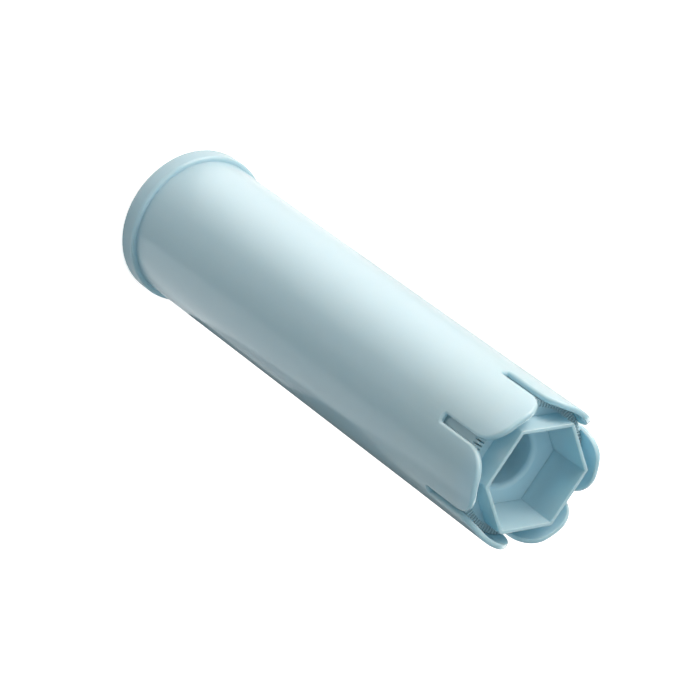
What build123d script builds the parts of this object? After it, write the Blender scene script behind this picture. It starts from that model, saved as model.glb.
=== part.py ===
from build123d import *
import math
import os

# Water filter cartridge for a coffee machine's tank, in millimetres.
# It stands on its flange end, with the petals and the outlet at the top.
# The origin is at the centre of the flange's end face and +Z is the cartridge's axis.

# Housing: barrel, flange and closed flange end
length = 127.4              # end face to petal tips
barrel_diameter = 32.7      # outside, just above the flange
barrel_draft = 0.15         # degrees a side, the barrel narrows up to the ledge
flange_overhang = 1.15
flange_thickness = 4.5
flange_edge_chamfer = 0.6
end_wall = 1.6
foot_ring_width = 3.5       # ring that the cartridge stands on
foot_recess = 0.8           # end wall set back from that ring
ledge_width = 0.5           # step in the bore that carries the insert

# Petals: the open end of the barrel, cut by slots
petal_count = 6
petal_wall = 1.25
petal_corner_radius = 5.8
petal_edge_chamfer = 0.4    # outer edge, all round a petal
slot_width = 1.8
slot_depth = 15.4
slot_root_radius = 0.4      # corners of a slot's closed end

# Ribs on the end wall, which hold the head fleece off it
rib_count = 6
rib_height = 3.0
rib_thickness = 1.2

# Outlet insert: skirt, end plate with comb slits, hexagonal socket and outlet bore
insert_gap = 0.05           # a side, in its seat
skirt_wall = 1.2
plate_thickness = 1.3
plate_recess = 4.9          # end plate below the petal tips
slit_count = 108
slit_width = 0.3
slit_inset = 0.4            # reach of a slit past the skirt's wall
socket_sides = 6
socket_gap = 1.75           # socket's outer corners to the petals
socket_wall = 0.77          # at the rim
socket_draft = 2.6          # degrees a side, the socket narrows to its floor
socket_depth = 9.4
socket_floor = 1.8
socket_corner_round = 0.4   # outer corners
outlet_diameter = 12.4
outlet_depth = 9.5          # socket floor to the web
outlet_wall = 1.3
outlet_lip_chamfer = 1.2
web_thickness = 1.5

# Riser tube, from the collecting space at the flange end to the outlet
riser_diameter = 7.0
riser_wall = 0.9
riser_gap = 0.05            # a side, in its socket
riser_socket_depth = 5.5
riser_socket_wall = 1.2
riser_standoff = 2.0        # open end above the end wall

# Fleece washers and the granulate between them
fleece_thickness = 2.0
filling_gap = 0.1           # a side, to the bore and to the riser

overshoot = 1.0             # how far a cut runs past the face it opens
touch = 0.01                # two places closer than this are the same place

# Places along the axis
end_wall_top = foot_recess + end_wall
rib_top = end_wall_top + rib_height
plate_top = length - plate_recess
plate_bottom = plate_top - plate_thickness
slot_root = length - slot_depth
socket_floor_top = length - socket_depth
socket_underside = socket_floor_top - socket_floor
web_top = socket_floor_top - outlet_depth
web_bottom = web_top - web_thickness
ledge_height = web_bottom - riser_socket_depth
bed_bottom = rib_top + fleece_thickness
bed_top = ledge_height - fleece_thickness

# Radii
barrel_radius = barrel_diameter / 2
flange_radius = barrel_radius + flange_overhang
barrel_height = ledge_height - flange_thickness
petal_radius = barrel_radius - barrel_height * math.tan(math.radians(barrel_draft))
seat_radius = petal_radius - petal_wall
bore_radius = seat_radius - ledge_width
foot_recess_radius = flange_radius - foot_ring_width
skirt_radius = seat_radius - insert_gap
skirt_inner_radius = skirt_radius - skirt_wall
socket_corner_radius = seat_radius - socket_gap
socket_mouth_radius = socket_corner_radius - socket_wall / math.cos(math.pi / socket_sides)
outlet_radius = outlet_diameter / 2
riser_radius = riser_diameter / 2
riser_inner_radius = riser_radius - riser_wall
riser_socket_radius = riser_radius + riser_gap
filling_radius = bore_radius - filling_gap
filling_inner_radius = riser_radius + filling_gap


def lies_on_skin(edge):
    """True for an edge of the petals' outline, on the outside of the barrel."""
    skin_radius = petal_radius - petal_wall / 4
    points = [edge @ share for share in (0, 0.5, 1)]
    nearest = min(math.hypot(point.X, point.Y) for point in points)
    lowest = min(point.Z for point in points)
    return nearest > skin_radius and lowest > slot_root - touch


# The housing is turned as one shell, closed at the flange end, with the ledge in its bore
with BuildPart() as housing:
    with BuildSketch(Plane.XZ):
        with BuildLine():
            Polyline(
                (foot_recess_radius, 0),
                (flange_radius, 0),
                (flange_radius, flange_thickness),
                (barrel_radius, flange_thickness),
                (petal_radius, ledge_height),
                (petal_radius, length),
                (seat_radius, length),
                (seat_radius, ledge_height),
                (bore_radius, ledge_height),
                (bore_radius, end_wall_top),
                (0, end_wall_top),
                (0, foot_recess),
                (foot_recess_radius, foot_recess),
                close=True,
            )
        make_face()
    revolve(axis=Axis.Z)
    rims = housing.edges().filter_by(GeomType.CIRCLE)
    flange_rims = rims.filter_by(lambda rim: abs(rim.radius - flange_radius) < touch)
    chamfer(flange_rims, flange_edge_chamfer)

    # Ribs stand on the end wall, from beside the riser's open end into the bore's wall
    rib_start = riser_radius + rib_thickness
    rib_length = bore_radius + ledge_width - rib_start
    with BuildSketch(Plane.XY.offset(end_wall_top)):
        with PolarLocations(rib_start + rib_length / 2, rib_count):
            Rectangle(rib_length, rib_thickness)
    extrude(amount=rib_height)

    # Each slot is cut square through the wall and opens in the petals' rounded corners
    petal_pitch = 360 / petal_count
    slot_angles = [petal_pitch * (index + 0.5) for index in range(petal_count)]
    half_slot = slot_width / 2
    corner_height = length - petal_corner_radius
    corner_reach = half_slot + petal_corner_radius
    with BuildSketch(*[Plane.YZ.rotated((0, 0, angle)) for angle in slot_angles]):
        with BuildLine():
            Polyline(
                (-half_slot, corner_height),
                (-half_slot, slot_root),
                (half_slot, slot_root),
                (half_slot, corner_height),
            )
            CenterArc((corner_reach, corner_height), petal_corner_radius, 90, 90)
            Polyline(
                (corner_reach, length),
                (corner_reach, length + overshoot),
                (-corner_reach, length + overshoot),
                (-corner_reach, length),
            )
            CenterArc((-corner_reach, corner_height), petal_corner_radius, 0, 90)
        slot_face = make_face()
        fillet(slot_face.vertices().group_by(Axis.Y)[0], slot_root_radius)
    extrude(amount=flange_radius, mode=Mode.SUBTRACT)
    chamfer(housing.edges().filter_by(lies_on_skin), petal_edge_chamfer)
housing.part.label = "housing"

# The insert is a cup on the ledge, open downwards, with the socket through its end plate
with BuildPart() as outlet_insert:
    with BuildSketch(Plane.XZ):
        with BuildLine():
            Polyline(
                (skirt_inner_radius, ledge_height),
                (skirt_radius, ledge_height),
                (skirt_radius, plate_top),
                (0, plate_top),
                (0, plate_bottom),
                (skirt_inner_radius, plate_bottom),
                close=True,
            )
        make_face()
    revolve(axis=Axis.Z)

    # Socket block, with the outlet pipe and the riser's socket below it
    with BuildSketch(Plane.XY.offset(socket_underside)) as socket_block:
        RegularPolygon(socket_corner_radius, socket_sides)
        fillet(socket_block.vertices(), socket_corner_round)
    extrude(amount=length - socket_underside)
    with BuildSketch(Plane.XY.offset(web_bottom)):
        Circle(outlet_radius + outlet_wall)
    extrude(amount=socket_underside - web_bottom)
    with BuildSketch(Plane.XY.offset(ledge_height)):
        Circle(riser_socket_radius + riser_socket_wall)
    extrude(amount=riser_socket_depth)

    # Drafted socket, then the outlet bore with its lead-in
    with BuildSketch(Plane.XY.offset(length)):
        RegularPolygon(socket_mouth_radius, socket_sides)
    extrude(amount=-socket_depth, taper=socket_draft, mode=Mode.SUBTRACT)
    with Locations((0, 0, socket_floor_top)):
        Hole(outlet_radius, depth=outlet_depth)
    rims = outlet_insert.edges().filter_by(GeomType.CIRCLE)
    outlet_rims = rims.filter_by(lambda rim: abs(rim.radius - outlet_radius) < touch)
    chamfer(outlet_rims.sort_by(Axis.Z)[-1], outlet_lip_chamfer)

    # Passage through the web, and the riser's socket from below, up to the web
    with Locations((0, 0, web_top)):
        Hole(riser_inner_radius, depth=web_thickness)
    with Locations((0, 0, ledge_height)):
        Hole(riser_socket_radius, depth=riser_socket_depth)

    # Comb of slits round the edge of the end plate, up to the socket, to let the water in
    slit_start = skirt_inner_radius - slit_inset
    slit_length = skirt_radius + overshoot - slit_start
    slit_pitch = 360 / slit_count
    with BuildSketch(Plane.XY.offset(plate_top)):
        with PolarLocations(slit_start + slit_length / 2, slit_count, start_angle=slit_pitch / 2):
            Rectangle(slit_length, slit_width)
        add(socket_block.sketch_local, mode=Mode.SUBTRACT)
    extrude(amount=-plate_thickness, mode=Mode.SUBTRACT)
outlet_insert.part.label = "outlet_insert"

# The riser tube stands over the collecting space and butts against the web
with BuildPart() as riser_tube:
    with BuildSketch(Plane.XY.offset(end_wall_top + riser_standoff)):
        Circle(riser_radius)
        Circle(riser_inner_radius, mode=Mode.SUBTRACT)
    extrude(amount=web_bottom - end_wall_top - riser_standoff)
riser_tube.part.label = "riser_tube"

# The head fleece lies on the ribs, round the riser
with BuildPart() as head_fleece:
    with BuildSketch(Plane.XY.offset(rib_top)):
        Circle(filling_radius)
        Circle(filling_inner_radius, mode=Mode.SUBTRACT)
    extrude(amount=fleece_thickness)
head_fleece.part.label = "head_fleece"

# The granulate fills the barrel between the two washers
with BuildPart() as filter_bed:
    with BuildSketch(Plane.XY.offset(bed_bottom)):
        Circle(filling_radius)
        Circle(filling_inner_radius, mode=Mode.SUBTRACT)
    extrude(amount=bed_top - bed_bottom)
filter_bed.part.label = "filter_bed"

# The inlet fleece is held between the granulate and the insert's skirt
with BuildPart() as inlet_fleece:
    with BuildSketch(Plane.XY.offset(bed_top)):
        Circle(filling_radius)
        Circle(filling_inner_radius, mode=Mode.SUBTRACT)
    extrude(amount=fleece_thickness)
inlet_fleece.part.label = "inlet_fleece"

os.makedirs("parts", exist_ok=True)
for piece in (housing, outlet_insert, riser_tube, head_fleece, filter_bed, inlet_fleece):
    export_step(piece.part, f"parts/{piece.part.label}.step")
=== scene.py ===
import bmesh
import bpy
import math
from mathutils import Matrix, Vector


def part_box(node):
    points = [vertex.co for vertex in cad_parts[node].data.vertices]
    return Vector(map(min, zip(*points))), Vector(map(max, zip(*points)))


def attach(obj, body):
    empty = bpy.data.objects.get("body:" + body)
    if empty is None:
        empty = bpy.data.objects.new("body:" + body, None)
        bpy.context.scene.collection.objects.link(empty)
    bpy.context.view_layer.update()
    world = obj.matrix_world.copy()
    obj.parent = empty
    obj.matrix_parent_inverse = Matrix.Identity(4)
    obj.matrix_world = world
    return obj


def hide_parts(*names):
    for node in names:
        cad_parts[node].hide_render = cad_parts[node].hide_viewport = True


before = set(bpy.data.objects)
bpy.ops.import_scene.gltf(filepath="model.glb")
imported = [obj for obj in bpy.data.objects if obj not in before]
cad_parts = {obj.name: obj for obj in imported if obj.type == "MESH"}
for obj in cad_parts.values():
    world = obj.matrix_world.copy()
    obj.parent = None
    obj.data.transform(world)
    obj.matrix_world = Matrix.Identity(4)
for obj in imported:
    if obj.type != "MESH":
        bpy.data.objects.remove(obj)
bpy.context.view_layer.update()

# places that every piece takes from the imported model
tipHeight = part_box("housing")[1].z
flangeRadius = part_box("housing")[1].x
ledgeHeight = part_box("outlet_insert")[0].z
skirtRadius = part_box("outlet_insert")[1].x
riserLow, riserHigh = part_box("riser_tube")
small = 1e-6  # two places closer than this are one


def startFresh():
    if bpy.context.mode != "OBJECT":
        bpy.ops.object.mode_set(mode="OBJECT")
    bpy.ops.object.select_all(action="DESELECT")


def takeUp(piece):  # selects one piece and makes it the active one
    startFresh()
    piece.select_set(True)
    bpy.context.view_layer.objects.active = piece


def edit(piece):
    takeUp(piece)
    bpy.ops.object.mode_set(mode="EDIT")


def pick(piece, kind, wanted):  # selects vertices, edges or faces in edit mode, by their place
    bpy.ops.mesh.select_mode(type=kind)
    bpy.ops.mesh.select_all(action="DESELECT")
    mesh = bmesh.from_edit_mesh(piece.data)
    parts = {"VERT": mesh.verts, "EDGE": mesh.edges, "FACE": mesh.faces}[kind]
    for part in parts:
        if wanted(part):
            part.select_set(True)
    bmesh.update_edit_mesh(piece.data)


def radiusOf(vert):
    return math.hypot(vert.co.x, vert.co.y)


def onRing(edge, radius, height):
    return all(abs(radiusOf(v) - radius) < small and abs(v.co.z - height) < small for v in edge.verts)


def drawRing(piece, radius, height):  # extrudes the picked ring of edges to a new radius and height
    bpy.ops.mesh.extrude_region_move()
    mesh = bmesh.from_edit_mesh(piece.data)
    for vert in mesh.verts:
        if vert.select:
            scale = radius / radiusOf(vert)
            vert.co = (vert.co.x * scale, vert.co.y * scale, height)
    bmesh.update_edit_mesh(piece.data)


def roundEdges(piece, wanted, offset, segments):
    pick(piece, "EDGE", wanted)
    bpy.ops.mesh.bevel(offset=offset, segments=segments, affect="EDGES", loop_slide=False)


def closeUp():  # merges doubles and points the faces outwards, in edit mode
    bpy.ops.mesh.select_all(action="SELECT")
    bpy.ops.mesh.remove_doubles(threshold=small)
    bpy.ops.mesh.normals_make_consistent(inside=False)


def spinCopies(count):  # copies of all that is selected, evenly round the axis
    others = count - 1
    turn = 2 * math.pi / count
    bpy.ops.mesh.spin(steps=others, dupli=True, angle=turn * others, center=(0, 0, 0), axis=(0, 0, 1))


def useModifier(piece, kind, **values):
    takeUp(piece)
    modifier = piece.modifiers.new(kind.title(), kind)
    for name, value in values.items():
        setattr(modifier, name, value)
    bpy.ops.object.modifier_apply(modifier=modifier.name)


def combine(piece, tool, operation):  # boolean with a second shape, which is then thrown away
    useModifier(piece, "BOOLEAN", object=tool, operation=operation, solver="EXACT")
    bpy.data.objects.remove(tool)


def smooth(piece, angle=30):
    takeUp(piece)
    bpy.ops.object.shade_smooth_by_angle(angle=math.radians(angle))
    useModifier(piece, "WEIGHTED_NORMAL", keep_sharp=True, weight=80)


def setPlace(piece):
    takeUp(piece)
    bpy.ops.object.transform_apply(location=True, rotation=True, scale=True)


def placePiece(piece, node, material):
    piece.data.materials.clear()
    piece.data.materials.append(material)
    for vert in piece.data.vertices:
        vert.co.z = min(vert.co.z, tipHeight)  # bevels end a hair above the tips
    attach(piece, "root")
    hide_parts(node)
    print("made", piece.name, len(piece.data.polygons), "faces")


# materials

def newMaterial(name):
    material = bpy.data.materials.new(name)
    material.use_nodes = True
    nodes = material.node_tree.nodes
    links = material.node_tree.links
    return material, nodes, links, nodes["Principled BSDF"]


plasticLook = {
    "colour": (0.465, 0.69, 0.785, 1),
    "deepColour": (0.44, 0.675, 0.775, 1),
    "flowScale": 42,       # slow drift of tint along the flow of the melt
    "grainScale": 5200,    # fine spark texture of the mould
    "grainHeight": 0.000006,
    "waveScale": 120,      # faint sink marks
    "waveHeight": 0.00004,
    "roughnessLow": 0.16,
    "roughnessHigh": 0.2,
    "lightThrough": 0.65,  # share of light that passes through thin walls
    "lightReach": (0.0018, 0.0022, 0.0024),
}


def makeBluePlastic():
    look = plasticLook
    material, nodes, links, shader = newMaterial("satin_blue_plastic")
    place = nodes.new("ShaderNodeTexCoord")
    flow = nodes.new("ShaderNodeTexNoise")
    flow.inputs["Scale"].default_value = look["flowScale"]
    flow.inputs["Detail"].default_value = 2
    links.new(place.outputs["Object"], flow.inputs["Vector"])
    tint = nodes.new("ShaderNodeMix")
    tint.data_type = "RGBA"
    tint.inputs["A"].default_value = look["colour"]
    tint.inputs["B"].default_value = look["deepColour"]
    links.new(flow.outputs["Fac"], tint.inputs["Factor"])
    links.new(tint.outputs["Result"], shader.inputs["Base Color"])
    grain = nodes.new("ShaderNodeTexNoise")
    grain.inputs["Scale"].default_value = look["grainScale"]
    grain.inputs["Detail"].default_value = 3
    links.new(place.outputs["Object"], grain.inputs["Vector"])
    gloss = nodes.new("ShaderNodeMapRange")
    gloss.inputs["To Min"].default_value = look["roughnessLow"]
    gloss.inputs["To Max"].default_value = look["roughnessHigh"]
    links.new(grain.outputs["Fac"], gloss.inputs["Value"])
    links.new(gloss.outputs["Result"], shader.inputs["Roughness"])
    wave = nodes.new("ShaderNodeTexNoise")
    wave.inputs["Scale"].default_value = look["waveScale"]
    wave.inputs["Detail"].default_value = 1
    links.new(place.outputs["Object"], wave.inputs["Vector"])
    sink = nodes.new("ShaderNodeBump")
    sink.inputs["Strength"].default_value = 0.25
    sink.inputs["Distance"].default_value = look["waveHeight"]
    links.new(wave.outputs["Fac"], sink.inputs["Height"])
    skin = nodes.new("ShaderNodeBump")
    skin.inputs["Strength"].default_value = 0.3
    skin.inputs["Distance"].default_value = look["grainHeight"]
    links.new(grain.outputs["Fac"], skin.inputs["Height"])
    links.new(sink.outputs["Normal"], skin.inputs["Normal"])
    links.new(skin.outputs["Normal"], shader.inputs["Normal"])
    shader.inputs["Subsurface Weight"].default_value = look["lightThrough"]
    shader.inputs["Subsurface Radius"].default_value = look["lightReach"]
    shader.inputs["Subsurface Scale"].default_value = 1.0
    shader.inputs["Specular IOR Level"].default_value = 0.5
    return material


bluePlastic = makeBluePlastic()

# housing: a sleeve of petals, drawn down into barrel, flange and foot

housingSizes = {
    "petalCount": 6,
    "petalWall": 0.00125,
    "insertGap": 0.00005,
    "slotWidth": 0.0018,
    "slotDepth": 0.0154,
    "slotCorner": 0.0004,
    "petalCorner": 0.0058,
    "outerEdge": 0.0006,
    "innerEdge": 0.0002,
    "firstStrip": 6,       # degrees from a slot to the first line down the petal
    "stripStep": 3,        # degrees from line to line
    "barrelRadius": 0.01635,
    "flangeThickness": 0.0045,
    "flangeEdge": 0.00075,
    "flangeRoot": 0.00012,
    "ledgeWidth": 0.0005,
    "footRing": 0.0035,
    "footRecess": 0.0008,
    "footEdge": 0.0002,
    "endWall": 0.0016,
    "ribCount": 6,
    "ribHeight": 0.003,
    "ribThickness": 0.0012,
}


def makeHousing():
    size = housingSizes
    petalRadius = skirtRadius + size["insertGap"] + size["petalWall"]
    seatRadius = petalRadius - size["petalWall"]
    halfPitch = math.pi / size["petalCount"]
    halfWidth = petalRadius * math.sin(halfPitch)
    halfSlot = size["slotWidth"] / 2
    sleeve = tipHeight - ledgeHeight
    slotRoot = sleeve - size["slotDepth"]

    # one slot with half a petal on each side, drawn flat
    startFresh()
    bpy.ops.mesh.primitive_plane_add(size=1)
    housing = bpy.context.object
    housing.name = "housing_shell"
    bpy.ops.object.mode_set(mode="EDIT")
    bpy.ops.transform.resize(value=(2 * halfWidth, sleeve, 1), center_override=(0, 0, 0))
    bpy.ops.transform.translate(value=(0, sleeve / 2, 0))
    for across in (-halfSlot, halfSlot):
        bpy.ops.mesh.select_all(action="SELECT")
        bpy.ops.mesh.bisect(plane_co=(across, 0, 0), plane_no=(1, 0, 0))
    bpy.ops.mesh.select_all(action="SELECT")
    bpy.ops.mesh.bisect(plane_co=(0, slotRoot, 0), plane_no=(0, 1, 0))
    pick(housing, "FACE", lambda face: abs(face.calc_center_median().x) < small
         and face.calc_center_median().y > slotRoot)
    bpy.ops.mesh.delete(type="FACE")
    bpy.ops.mesh.select_all(action="SELECT")
    bpy.ops.mesh.dissolve_limited(angle_limit=0.01)
    pick(housing, "VERT", lambda vert: abs(abs(vert.co.x) - halfSlot) < small
         and vert.co.y > sleeve - small)
    bpy.ops.mesh.bevel(offset=size["petalCorner"], segments=16, affect="VERTICES")
    pick(housing, "VERT", lambda vert: abs(abs(vert.co.x) - halfSlot) < small
         and abs(vert.co.y - slotRoot) < small)
    bpy.ops.mesh.bevel(offset=size["slotCorner"], segments=4, affect="VERTICES")

    # lines down the sheet, so that it can be rolled up
    lines = range(size["firstStrip"], round(math.degrees(halfPitch)), size["stripStep"])
    for degrees in [0, *lines, *[-line for line in lines]]:
        bpy.ops.mesh.select_all(action="SELECT")
        across = petalRadius * math.sin(math.radians(degrees))
        bpy.ops.mesh.bisect(plane_co=(across, 0, 0), plane_no=(1, 0, 0))
    bpy.ops.object.mode_set(mode="OBJECT")
    for vert in housing.data.vertices:
        turn = halfPitch + math.asin(max(-1, min(1, vert.co.x / petalRadius)))
        vert.co = (petalRadius * math.cos(turn), petalRadius * math.sin(turn), ledgeHeight + vert.co.y)

    # the other petals, the wall and its rounded edges
    edit(housing)
    bpy.ops.mesh.select_all(action="SELECT")
    spinCopies(size["petalCount"])
    closeUp()
    useModifier(housing, "SOLIDIFY", thickness=size["petalWall"], offset=-1)
    edit(housing)
    pick(housing, "FACE", lambda face: face.normal.z < -0.9
         and face.calc_center_median().z < ledgeHeight + small)
    bpy.ops.mesh.delete(type="ONLY_FACE")

    def isSharp(edge, radius):
        there = all(abs(radiusOf(v) - radius) < 20 * small for v in edge.verts)
        return there and edge.calc_face_angle(0) > 1

    roundEdges(housing, lambda edge: isSharp(edge, petalRadius), size["outerEdge"], 5)
    roundEdges(housing, lambda edge: isSharp(edge, seatRadius), size["innerEdge"], 2)

    # outside: barrel, flange and foot
    flangeTop = size["flangeThickness"]
    footRadius = flangeRadius - size["footRing"]
    pick(housing, "EDGE", lambda edge: edge.is_boundary and onRing(edge, petalRadius, ledgeHeight))
    for radius, height in (
        (size["barrelRadius"], flangeTop),
        (flangeRadius, flangeTop),
        (flangeRadius, 0),
        (footRadius, 0),
        (footRadius, size["footRecess"]),
    ):
        drawRing(housing, radius, height)
    bpy.ops.mesh.edge_face_add()

    # inside: ledge, bore and end wall
    boreRadius = seatRadius - size["ledgeWidth"]
    endWallTop = size["footRecess"] + size["endWall"]
    pick(housing, "EDGE", lambda edge: edge.is_boundary and onRing(edge, seatRadius, ledgeHeight))
    drawRing(housing, boreRadius, ledgeHeight)
    drawRing(housing, boreRadius, endWallTop)
    bpy.ops.mesh.edge_face_add()
    closeUp()

    def onFlange(edge):
        return any(onRing(edge, flangeRadius, height) for height in (0, flangeTop))

    def onRoot(edge):
        return onRing(edge, size["barrelRadius"], flangeTop)

    roundEdges(housing, onFlange, size["flangeEdge"], 5)
    roundEdges(housing, onRoot, size["flangeRoot"], 3)
    roundEdges(housing, lambda edge: onRing(edge, footRadius, 0), size["footEdge"], 2)

    # ribs that hold the fleece off the end wall, let a little into the wall and the floor
    ribStart = riserHigh.x + size["ribThickness"]
    ribLength = boreRadius + size["ledgeWidth"] - ribStart
    sunk = size["ledgeWidth"]
    startFresh()
    bpy.ops.mesh.primitive_cube_add(size=1)
    ribs = bpy.context.object
    bpy.ops.object.mode_set(mode="EDIT")
    ribSize = (ribLength, size["ribThickness"], size["ribHeight"] + sunk)
    bpy.ops.transform.resize(value=ribSize, center_override=(0, 0, 0))
    ribMiddle = endWallTop + (size["ribHeight"] - sunk) / 2
    bpy.ops.transform.translate(value=(ribStart + ribLength / 2, 0, ribMiddle))
    spinCopies(size["ribCount"])
    closeUp()
    bpy.ops.object.mode_set(mode="OBJECT")
    combine(housing, ribs, "UNION")
    smooth(housing)
    placePiece(housing, "housing", bluePlastic)


makeHousing()

# outlet insert: a cup with a comb of slits, a hexagonal socket and the outlet bore

insertSizes = {
    "plateRecess": 0.0049,
    "plateThickness": 0.0013,
    "skirtWall": 0.0012,
    "skirtEdge": 0.00015,
    "slitCount": 108,
    "slitWidth": 0.0003,
    "slitInset": 0.0004,
    "seatGap": 0.00005,
    "socketGap": 0.00175,
    "socketWall": 0.00077,
    "socketDraft": 2.6,     # degrees a side
    "socketDepth": 0.0094,
    "socketFloor": 0.0018,
    "socketCorner": 0.0004,
    "rimEdge": 0.00015,
    "outletRadius": 0.0062,
    "outletDepth": 0.0095,
    "outletWall": 0.0013,
    "outletLip": 0.0012,
    "webThickness": 0.0015,
    "riserGap": 0.00005,
    "riserSocketWall": 0.0012,
    "riserWall": 0.0009,
    "roundSteps": 144,
}


def addCylinder(radius, low, high, steps):
    startFresh()
    bpy.ops.mesh.primitive_cylinder_add(
        vertices=steps, radius=radius, depth=high - low, location=(0, 0, (low + high) / 2))
    setPlace(bpy.context.object)
    return bpy.context.object


def addHexagon(lowRadius, highRadius, low, high):
    startFresh()
    bpy.ops.mesh.primitive_cone_add(
        vertices=6, radius1=lowRadius, radius2=highRadius, depth=high - low,
        location=(0, 0, (low + high) / 2), rotation=(0, 0, math.radians(30)))
    setPlace(bpy.context.object)
    return bpy.context.object


def makeInsert():
    size = insertSizes
    steps = size["roundSteps"]
    plateTop = tipHeight - size["plateRecess"]
    plateBottom = plateTop - size["plateThickness"]
    skirtInside = skirtRadius - size["skirtWall"]
    floorTop = tipHeight - size["socketDepth"]
    floorBottom = floorTop - size["socketFloor"]
    webTop = floorTop - size["outletDepth"]
    webBottom = webTop - size["webThickness"]

    # cup, open downwards
    insert = addCylinder(skirtRadius, ledgeHeight, plateTop, steps)
    insert.name = "outlet_moulding"
    edit(insert)
    pick(insert, "FACE", lambda face: face.normal.z < -0.9)
    bpy.ops.mesh.inset(thickness=size["skirtWall"])
    cupDepth = plateBottom - ledgeHeight
    bpy.ops.mesh.extrude_region_move(TRANSFORM_OT_translate={"value": (0, 0, cupDepth)})
    roundEdges(insert, lambda edge: onRing(edge, skirtRadius, plateTop), size["skirtEdge"], 2)
    closeUp()

    # comb of slits
    past = 0.001  # how far a cut runs past the face it opens
    slitStart = skirtInside - size["slitInset"]
    slitLength = skirtRadius + past - slitStart
    startFresh()
    bpy.ops.mesh.primitive_cube_add(size=1)
    comb = bpy.context.object
    bpy.ops.object.mode_set(mode="EDIT")
    slitSize = (slitLength, size["slitWidth"], plateTop - plateBottom + past)
    bpy.ops.transform.resize(value=slitSize, center_override=(0, 0, 0))
    bpy.ops.transform.translate(value=(slitStart + slitLength / 2, 0, plateBottom + slitSize[2] / 2))
    halfPitch = math.pi / size["slitCount"]
    bpy.ops.transform.rotate(value=halfPitch, orient_axis="Z", center_override=(0, 0, 0))
    spinCopies(size["slitCount"])
    bpy.ops.object.mode_set(mode="OBJECT")
    combine(insert, comb, "DIFFERENCE")

    # socket block, outlet pipe and the riser's socket
    cornerRadius = skirtRadius + size["seatGap"] - size["socketGap"]
    block = addHexagon(cornerRadius, cornerRadius, floorBottom, tipHeight)
    edit(block)
    roundEdges(block, lambda edge: abs(edge.verts[0].co.z - edge.verts[1].co.z) > size["socketFloor"],
               size["socketCorner"], 3)
    bpy.ops.object.mode_set(mode="OBJECT")
    combine(insert, block, "UNION")
    overlap = size["socketFloor"] / 2
    pipeRadius = size["outletRadius"] + size["outletWall"]
    combine(insert, addCylinder(pipeRadius, webBottom, floorBottom + overlap, steps), "UNION")
    socketRadius = riserHigh.x + size["riserGap"]
    sleeveRadius = socketRadius + size["riserSocketWall"]
    combine(insert, addCylinder(sleeveRadius, ledgeHeight, webBottom + overlap, steps), "UNION")

    # socket, outlet bore, and the passage down to the riser
    draft = math.tan(math.radians(size["socketDraft"])) / math.cos(math.pi / 6)
    mouthRadius = cornerRadius - size["socketWall"] / math.cos(math.pi / 6)
    floorRadius = mouthRadius - size["socketDepth"] * draft
    socket = addHexagon(floorRadius, mouthRadius + past * draft, floorTop, tipHeight + past)
    combine(insert, socket, "DIFFERENCE")
    combine(insert, addCylinder(size["outletRadius"], webTop, floorTop + past, steps), "DIFFERENCE")
    passage = riserHigh.x - size["riserWall"]
    combine(insert, addCylinder(passage, webBottom - past, webTop + past, steps), "DIFFERENCE")
    combine(insert, addCylinder(socketRadius, ledgeHeight - past, webBottom, steps), "DIFFERENCE")
    edit(insert)
    closeUp()
    roundEdges(insert, lambda edge: onRing(edge, size["outletRadius"], floorTop), size["outletLip"], 6)

    def onRim(edge):
        return all(v.co.z > tipHeight - small for v in edge.verts) and edge.calc_face_angle(0) > 0.5

    roundEdges(insert, onRim, size["rimEdge"], 3)
    bpy.ops.object.mode_set(mode="OBJECT")
    smooth(insert)
    placePiece(insert, "outlet_insert", bluePlastic)


makeInsert()

# riser tube: extruded natural plastic, from the collecting space up to the insert's web

riserSizes = {"wall": 0.0009, "edge": 0.00012, "steps": 64}
naturalLook = {
    "colour": (0.74, 0.77, 0.76, 1),
    "deepColour": (0.69, 0.725, 0.72, 1),
    "drawnScale": 1500,    # fine lines along the tube, from the die
    "drawnStretch": (1, 1, 0.03),
    "drawnHeight": 0.00002,
    "roughness": 0.45,
    "lightThrough": 0.2,
    "lightReach": (0.001, 0.001, 0.001),
}


def makeNaturalPlastic():
    look = naturalLook
    material, nodes, links, shader = newMaterial("natural_plastic")
    place = nodes.new("ShaderNodeTexCoord")
    stretch = nodes.new("ShaderNodeMapping")
    stretch.inputs["Scale"].default_value = look["drawnStretch"]
    links.new(place.outputs["Object"], stretch.inputs["Vector"])
    drawn = nodes.new("ShaderNodeTexNoise")
    drawn.inputs["Scale"].default_value = look["drawnScale"]
    links.new(stretch.outputs["Vector"], drawn.inputs["Vector"])
    tint = nodes.new("ShaderNodeMix")
    tint.data_type = "RGBA"
    tint.inputs["A"].default_value = look["colour"]
    tint.inputs["B"].default_value = look["deepColour"]
    links.new(drawn.outputs["Fac"], tint.inputs["Factor"])
    links.new(tint.outputs["Result"], shader.inputs["Base Color"])
    lines = nodes.new("ShaderNodeBump")
    lines.inputs["Strength"].default_value = 0.4
    lines.inputs["Distance"].default_value = look["drawnHeight"]
    links.new(drawn.outputs["Fac"], lines.inputs["Height"])
    links.new(lines.outputs["Normal"], shader.inputs["Normal"])
    shader.inputs["Roughness"].default_value = look["roughness"]
    shader.inputs["Subsurface Weight"].default_value = look["lightThrough"]
    shader.inputs["Subsurface Radius"].default_value = look["lightReach"]
    shader.inputs["Subsurface Scale"].default_value = 1.0
    return material


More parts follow.
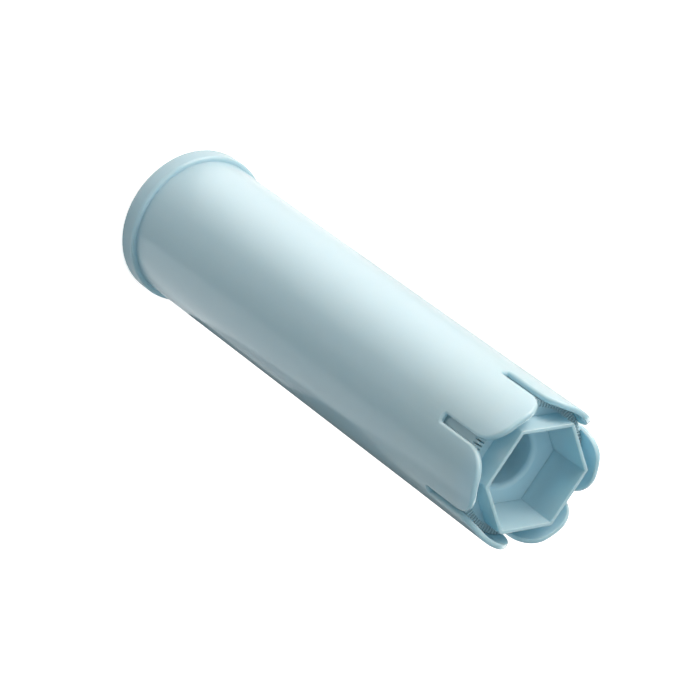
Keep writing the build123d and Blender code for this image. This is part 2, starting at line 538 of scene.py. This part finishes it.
def makeRiser():
    size = riserSizes
    outside = riserHigh.x
    inside = outside - size["wall"]
    past = size["wall"]
    riser = addCylinder(outside, riserLow.z, riserHigh.z, size["steps"])
    riser.name = "riser_pipe"
    bore = addCylinder(inside, riserLow.z - past, riserHigh.z + past, size["steps"])
    combine(riser, bore, "DIFFERENCE")
    edit(riser)
    closeUp()

    def onEnd(edge):
        ends = [(radius, z) for radius in (outside, inside) for z in (riserLow.z, riserHigh.z)]
        return any(onRing(edge, *end) for end in ends)

    roundEdges(riser, onEnd, size["edge"], 2)
    bpy.ops.object.mode_set(mode="OBJECT")
    smooth(riser)
    placePiece(riser, "riser_tube", makeNaturalPlastic())


makeRiser()

# soft filling: two felt washers, and the granulate between them

fillingGap = 0.0001  # to the riser


def addWasher(node, corner, grid, steps):  # ring with rounded edges and an even grid, in its node's box
    low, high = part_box(node)
    inside = riserHigh.x + fillingGap
    startFresh()
    bpy.ops.mesh.primitive_plane_add(size=1, rotation=(math.pi / 2, 0, 0))
    ring = bpy.context.object
    setPlace(ring)
    edit(ring)
    bpy.ops.mesh.select_all(action="SELECT")
    bpy.ops.transform.resize(value=(high.x - inside, 1, high.z - low.z), center_override=(0, 0, 0))
    bpy.ops.transform.translate(value=((high.x + inside) / 2, 0, (high.z + low.z) / 2))
    bpy.ops.mesh.bevel(offset=corner, segments=4, affect="VERTICES")
    bpy.ops.mesh.delete(type="ONLY_FACE")
    for axis, length in (("x", high.x - inside), ("z", high.z - low.z)):
        straight = length - 2 * corner
        pick(ring, "EDGE", lambda edge: straight - small
             < abs(getattr(edge.verts[0].co - edge.verts[1].co, axis)))
        bpy.ops.mesh.subdivide(number_cuts=max(1, round(straight / grid)))
    bpy.ops.mesh.select_all(action="SELECT")
    bpy.ops.mesh.spin(steps=steps, angle=2 * math.pi, center=(0, 0, 0), axis=(0, 0, 1))
    closeUp()
    bpy.ops.object.mode_set(mode="OBJECT")
    return ring


fleeceSizes = {
    "corner": 0.0004,
    "grid": 0.0004,
    "steps": 160,
    "fibreScale": 0.0009,
    "fibreHeight": 0.00022,
}
feltLook = {
    "darkColour": (0.66, 0.66, 0.62, 1),
    "lightColour": (0.88, 0.88, 0.84, 1),
    "fibreScale": 1400,
    "fibreCurl": 2.5,
    "pileHeight": 0.0003,
    "roughness": 0.95,
}


def makeFelt():
    look = feltLook
    material, nodes, links, shader = newMaterial("needled_felt")
    place = nodes.new("ShaderNodeTexCoord")
    fibres = nodes.new("ShaderNodeTexNoise")
    fibres.inputs["Scale"].default_value = look["fibreScale"]
    fibres.inputs["Detail"].default_value = 6
    fibres.inputs["Distortion"].default_value = look["fibreCurl"]
    links.new(place.outputs["Object"], fibres.inputs["Vector"])
    tint = nodes.new("ShaderNodeMix")
    tint.data_type = "RGBA"
    tint.inputs["A"].default_value = look["darkColour"]
    tint.inputs["B"].default_value = look["lightColour"]
    links.new(fibres.outputs["Fac"], tint.inputs["Factor"])
    links.new(tint.outputs["Result"], shader.inputs["Base Color"])
    pile = nodes.new("ShaderNodeBump")
    pile.inputs["Strength"].default_value = 0.8
    pile.inputs["Distance"].default_value = look["pileHeight"]
    links.new(fibres.outputs["Fac"], pile.inputs["Height"])
    links.new(pile.outputs["Normal"], shader.inputs["Normal"])
    shader.inputs["Roughness"].default_value = look["roughness"]
    shader.inputs["Specular IOR Level"].default_value = 0.2
    shader.inputs["Sheen Weight"].default_value = 0.3
    return material


def makeFleeces():
    size = fleeceSizes
    felt = makeFelt()
    fibres = bpy.data.textures.new("felt_fibres", "CLOUDS")
    fibres.noise_scale = size["fibreScale"]
    for node, name in (("head_fleece", "head_washer"), ("inlet_fleece", "inlet_washer")):
        washer = addWasher(node, size["corner"], size["grid"], size["steps"])
        washer.name = name
        useModifier(washer, "DISPLACE", texture=fibres, strength=size["fibreHeight"], mid_level=1)
        smooth(washer, 60)
        placePiece(washer, node, felt)


makeFleeces()

bedSizes = {
    "corner": 0.0005,
    "grid": 0.00042,
    "steps": 200,
    "grainSize": 0.0011,
    "grainHeight": 0.00045,
}
granulateLook = {
    "carbonUpTo": 0.36,    # share of the grains that are carbon
    "resinFrom": 0.42,
    "carbon": (0.02, 0.018, 0.016, 1),
    "darkResin": (0.24, 0.13, 0.05, 1),
    "lightResin": (0.38, 0.24, 0.11, 1),
    "beadHeight": 0.0004,
    "roughness": 0.35,
}


def makeGranulate():
    look = granulateLook
    material, nodes, links, shader = newMaterial("resin_and_carbon")
    place = nodes.new("ShaderNodeTexCoord")
    grains = nodes.new("ShaderNodeTexVoronoi")
    grains.inputs["Scale"].default_value = 1 / bedSizes["grainSize"]
    links.new(place.outputs["Object"], grains.inputs["Vector"])
    share = nodes.new("ShaderNodeSeparateColor")
    links.new(grains.outputs["Color"], share.inputs["Color"])
    kinds = nodes.new("ShaderNodeValToRGB")
    steps = kinds.color_ramp.elements
    steps[0].position, steps[0].color = look["carbonUpTo"], look["carbon"]
    steps[1].position, steps[1].color = look["resinFrom"], look["darkResin"]
    light = steps.new(1.0)
    light.color = look["lightResin"]
    links.new(share.outputs["Red"], kinds.inputs["Fac"])
    links.new(kinds.outputs["Color"], shader.inputs["Base Color"])
    bead = nodes.new("ShaderNodeBump")
    bead.invert = True
    bead.inputs["Strength"].default_value = 0.7
    bead.inputs["Distance"].default_value = look["beadHeight"]
    links.new(grains.outputs["Distance"], bead.inputs["Height"])
    links.new(bead.outputs["Normal"], shader.inputs["Normal"])
    shader.inputs["Roughness"].default_value = look["roughness"]
    return material


def makeBed():
    size = bedSizes
    bed = addWasher("filter_bed", size["corner"], size["grid"], size["steps"])
    bed.name = "granulate_bed"
    grains = bpy.data.textures.new("bed_grains", "VORONOI")
    grains.noise_scale = size["grainSize"]
    useModifier(bed, "DISPLACE", texture=grains, strength=-size["grainHeight"], mid_level=0)
    smooth(bed, 60)
    placePiece(bed, "filter_bed", makeGranulate())


makeBed()

# camera, lights and floor

cameraView = {
    "target": (0.000855, 0.00125, 0.064886),
    "distance": 0.66882,
    "bearing": -34.357,    # degrees from +X
    "elevation": 44.737,
    "roll": 126.518,
    "lens": 164.571,
    "sensor": 36,
}


def aimOut(bearing, elevation):
    turn, lift = math.radians(bearing), math.radians(elevation)
    return Vector((math.cos(turn) * math.cos(lift), math.sin(turn) * math.cos(lift), math.sin(lift)))


def makeCamera():
    view = cameraView
    away = aimOut(view["bearing"], view["elevation"])
    data = bpy.data.cameras.new("view_camera")
    data.lens = view["lens"]
    data.sensor_width = view["sensor"]
    camera = bpy.data.objects.new("view_camera", data)
    bpy.context.scene.collection.objects.link(camera)
    place = Matrix.Translation(Vector(view["target"]) + away * view["distance"])
    turn = away.to_track_quat("Z", "Y").to_matrix().to_4x4()
    camera.matrix_world = place @ turn @ Matrix.Rotation(math.radians(view["roll"]), 4, "Z")
    bpy.context.scene.camera = camera


makeCamera()

lightSet = {
    "key": {"bearing": 253, "elevation": 8, "distance": 0.7, "size": (0.5, 0.5), "power": 4.6,
            "colour": (1, 0.75, 0.66)},
    "side": {"bearing": 236, "elevation": 30, "distance": 0.7, "size": (0.5, 0.5), "power": 1.8,
             "colour": (1, 0.94, 0.89)},
    "high": {"bearing": 275, "elevation": 45, "distance": 0.7, "size": (0.5, 0.5), "power": 0.8,
             "colour": (1, 0.94, 0.89)},
    "front": {"bearing": 325, "elevation": 55, "distance": 0.7, "size": (0.5, 0.5), "power": 0.35,
              "colour": (0.84, 0.96, 1)},
    "top": {"bearing": 0, "elevation": 88, "distance": 0.7, "size": (0.5, 0.5), "power": 0.8,
            "colour": (0.84, 0.96, 1)},
    "fill": {"bearing": 35, "elevation": 40, "distance": 0.7, "size": (0.5, 0.5), "power": 0.7,
             "colour": (0.8, 0.95, 1)},
    "back": {"bearing": 145, "elevation": 8, "distance": 0.7, "size": (0.5, 0.5), "power": 2.6,
             "colour": (1, 0.95, 0.9)},
    "band": {"bearing": 43, "distance": 0.093, "height": 0.002, "turn": 25.6, "size": (0.14, 0.07),
             "power": 0.017, "mirrored": True},
    "sheen": {"bearing": 266, "distance": 0.128, "height": 0.002, "turn": 325.6, "size": (0.21, 0.18),
              "power": 0.03, "mirrored": True},
    "gloss": {"bearing": 256, "elevation": -44.7, "distance": 0.06, "size": (0.17, 0.115),
              "power": 0.015, "spread": 80, "mirrored": True},
    "world": 0.045,
}
# white to the camera, dim in reflections
skyGlow = {"Is Camera Ray": 1, "Is Glossy Ray": 0.2, "Is Transmission Ray": 1}


def rayLevel(nodes, links, levels, base):  # a level for each kind of ray, and the base for the rest
    path = nodes.new("ShaderNodeLightPath")
    last = nodes.new("ShaderNodeValue")
    last.outputs["Value"].default_value = base
    for ray, level in levels.items():
        shown = nodes.new("ShaderNodeMath")
        shown.operation = "MULTIPLY"
        shown.inputs[1].default_value = level
        links.new(path.outputs[ray], shown.inputs[0])
        most = nodes.new("ShaderNodeMath")
        most.operation = "MAXIMUM"
        links.new(last.outputs["Value"], most.inputs[0])
        links.new(shown.outputs["Value"], most.inputs[1])
        last = most
    return last.outputs["Value"]


def makeLights():
    for name, values in lightSet.items():
        if name == "world":
            continue
        data = bpy.data.lights.new(name + "_lamp", "AREA")
        data.shape = "RECTANGLE"
        data.size, data.size_y = values["size"]
        data.energy = values["power"]
        data.color = values.get("colour", (1, 1, 1))
        data.spread = math.radians(values.get("spread", 180))
        lamp = bpy.data.objects.new(name + "_lamp", data)
        bpy.context.scene.collection.objects.link(lamp)
        lamp.visible_camera = False
        lamp.visible_diffuse = not values.get("mirrored")  # some only show in reflections
        if "height" in values:  # a panel that lies on the floor
            lamp.location = aimOut(values["bearing"], 0) * values["distance"]
            lamp.location.z = values["height"]
            lamp.rotation_euler = (math.pi, 0, math.radians(values["turn"]))
        else:
            away = aimOut(values["bearing"], values["elevation"])
            lamp.location = Vector((0, 0, tipHeight / 2)) + away * values["distance"]
            lamp.rotation_euler = away.to_track_quat("Z", "Y").to_euler()
    world = bpy.data.worlds.new("studio")
    bpy.context.scene.world = world
    world.use_nodes = True
    nodes = world.node_tree.nodes
    links = world.node_tree.links
    level = rayLevel(nodes, links, skyGlow, lightSet["world"])
    links.new(level, nodes["Background"].inputs["Strength"])
    nodes["Background"].inputs["Color"].default_value = (1, 1, 1, 1)


makeLights()

floorSizes = {"size": 6, "height": -0.0001, "white": (0.85, 0.85, 0.85, 1), "roughness": 0.9}
# white to the camera, a little darker in reflections, so that the shadow shows in them
floorGlow = {"Is Camera Ray": 0.75, "Is Glossy Ray": 0.3, "Is Transmission Ray": 0.75}


def makeFloor():
    startFresh()
    bpy.ops.mesh.primitive_plane_add(size=floorSizes["size"], location=(0, 0, floorSizes["height"]))
    floor = bpy.context.object
    floor.name = "studio_floor"
    material, nodes, links, shader = newMaterial("white_floor")
    shader.inputs["Base Color"].default_value = floorSizes["white"]
    shader.inputs["Roughness"].default_value = floorSizes["roughness"]
    shader.inputs["Emission Color"].default_value = (1, 1, 1, 1)
    links.new(rayLevel(nodes, links, floorGlow, 0), shader.inputs["Emission Strength"])
    floor.data.materials.append(material)


makeFloor()

# painted shade: a dark card on the floor, seen in reflections only, which puts a painted reflection of
# shade along the barrel's lower edge
shadeCardSizes = {"bearing": 112, "distance": 0.105, "height": 0.001, "turn": 325.6,
             "size": (0.145, 0.084), "grey": (0.1, 0.1, 0.1, 1), "roughness": 0.9}


def makeShadeCard():
    card = shadeCardSizes
    startFresh()
    place = aimOut(card["bearing"], 0) * card["distance"]
    place.z = card["height"]
    turn = math.radians(card["turn"])
    bpy.ops.mesh.primitive_plane_add(size=1, location=place, rotation=(0, 0, turn))
    plane = bpy.context.object
    plane.name = "painted_shade_card"
    plane.scale = (*card["size"], 1)
    material, nodes, links, shader = newMaterial("painted_shade_card")
    # painted shade: this dark grey shows only in reflections, as the barrel's dark lower edge
    shader.inputs["Base Color"].default_value = card["grey"]
    shader.inputs["Roughness"].default_value = card["roughness"]
    plane.data.materials.append(material)
    plane.visible_camera = False
    plane.visible_diffuse = False
    plane.visible_shadow = False


makeShadeCard()

bpy.context.scene.view_settings.view_transform = "Standard"
